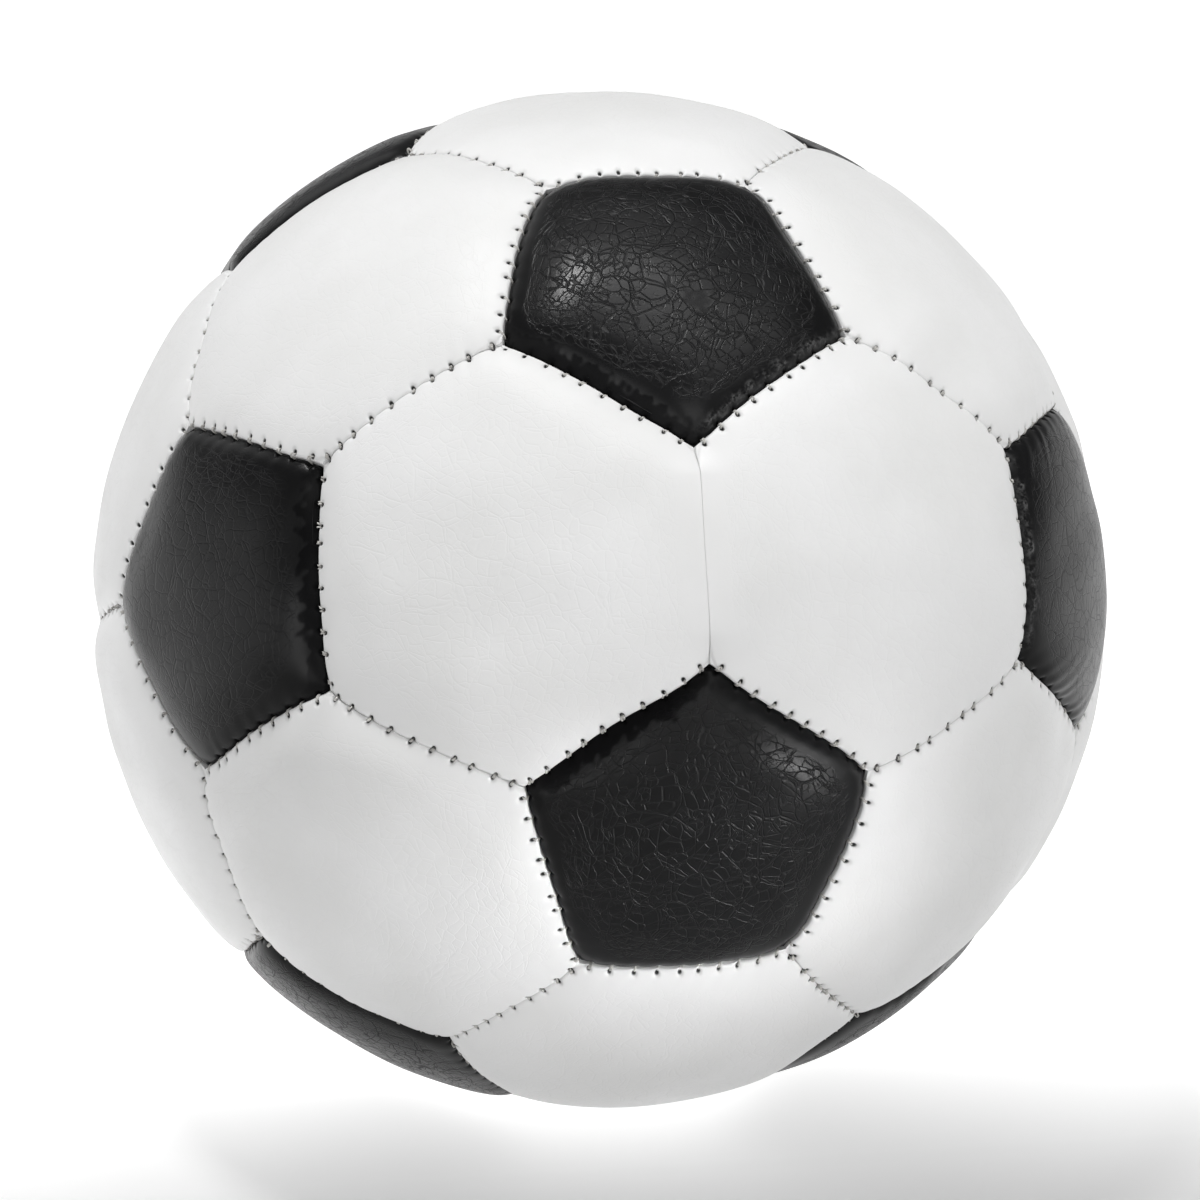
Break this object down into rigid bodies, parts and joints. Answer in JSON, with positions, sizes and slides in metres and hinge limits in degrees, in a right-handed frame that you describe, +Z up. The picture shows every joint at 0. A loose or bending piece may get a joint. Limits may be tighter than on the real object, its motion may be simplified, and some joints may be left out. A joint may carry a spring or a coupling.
{
  "type": "medicine ball",
  "caption": "Stuffed training ball with a padded cover sewn from black pentagon and white hexagon leather panels, weighted by a sand pouch at its centre.",
  "frame": {"origin": "centre of the ball", "axes": "+Z up through the centre of the top hexagon panel, with a hexagon panel facing straight down as the resting side; -Y is the front, with a pentagon panel just below its middle; the YZ plane is a mirror plane of the panel pattern"},
  "size_m": [0.2192, 0.22, 0.22],
  "materials": {
    "black_leather": "satin",
    "white_leather": "satin",
    "waxed_thread": "satin",
    "canvas": "matte",
    "fibre": "matte",
    "sand": "matte",
    "tie_cord": "matte"
  },
  "bodies": {
    "root": {"black_pentagon_01": "black_leather", "black_pentagon_02": "black_leather", "black_pentagon_03": "black_leather", "black_pentagon_04": "black_leather", "black_pentagon_05": "black_leather", "black_pentagon_06": "black_leather", "black_pentagon_07": "black_leather", "black_pentagon_08": "black_leather", "black_pentagon_09": "black_leather", "black_pentagon_10": "black_leather", "black_pentagon_11": "black_leather", "black_pentagon_12": "black_leather", "white_hexagon_01": "white_leather", "white_hexagon_02": "white_leather", "white_hexagon_03": "white_leather", "white_hexagon_04": "white_leather", "white_hexagon_05": "white_leather", "white_hexagon_06": "white_leather", "white_hexagon_07": "white_leather", "white_hexagon_08": "white_leather", "white_hexagon_09": "white_leather", "white_hexagon_10": "white_leather", "white_hexagon_11": "white_leather", "white_hexagon_12": "white_leather", "white_hexagon_13": "white_leather", "white_hexagon_14": "white_leather", "white_hexagon_15": "white_leather", "white_hexagon_16": "white_leather", "white_hexagon_17": "white_leather", "white_hexagon_18": "white_leather", "white_hexagon_19": "white_leather", "white_hexagon_20": "white_leather", "seam_thread": "waxed_thread", "lining_bag": "canvas", "mouth_patch": "canvas", "filling_upper": "fibre", "filling_lower": "fibre", "sand_pouch": "canvas", "sand": "sand", "pouch_tie": "tie_cord"}
  },
  "joints": []
}
